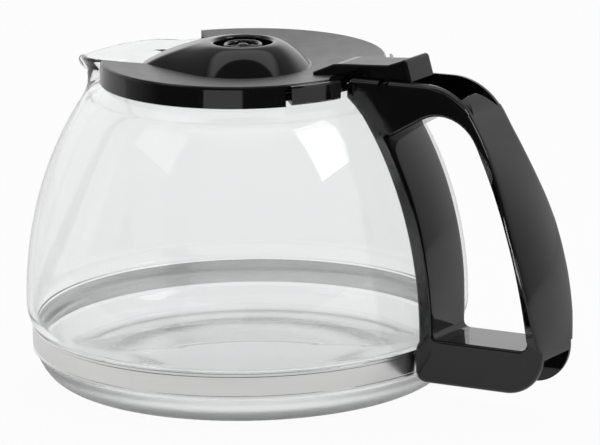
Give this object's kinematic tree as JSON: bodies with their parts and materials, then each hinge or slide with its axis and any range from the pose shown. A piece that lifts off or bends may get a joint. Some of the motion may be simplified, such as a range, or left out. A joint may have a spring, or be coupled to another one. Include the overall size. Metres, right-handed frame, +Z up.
{
  "type": "coffee server jug",
  "caption": "Glass coffee server jug with a steel foot band, black moulded D handle, neck collar and hinged dished lid with a domed inlet and thumb lever.",
  "frame": {"origin": "on the vessel's axis, in the plane that its foot rests on", "axes": "+Z up along the vessel's axis, +X towards the handle, -X towards the spout, +Y along the lid's hinge"},
  "size_m": [0.1996, 0.152, 0.1172],
  "materials": {
    "glass": "clear, smooth",
    "band_steel": "bright, fine brushed",
    "plated_steel": "zinc plated",
    "black_plastic": "high gloss moulded"
  },
  "bodies": {
    "jug": {"glass_vessel": "glass", "base_band": "band_steel", "clamp_nut": "plated_steel", "clamp_screw": "plated_steel", "handle": "black_plastic", "neck_collar": "black_plastic"},
    "lid_body": {"lid": "black_plastic", "inlet_wheel": "black_plastic"}
  },
  "joints": [
    {"name": "lid_hinge", "type": "hinge", "parent": "jug", "child": "lid_body", "pos_m": [0.0632, 0, 0.1074], "axis": [0, 1, 0], "range_deg": [0, 95]}
  ]
}
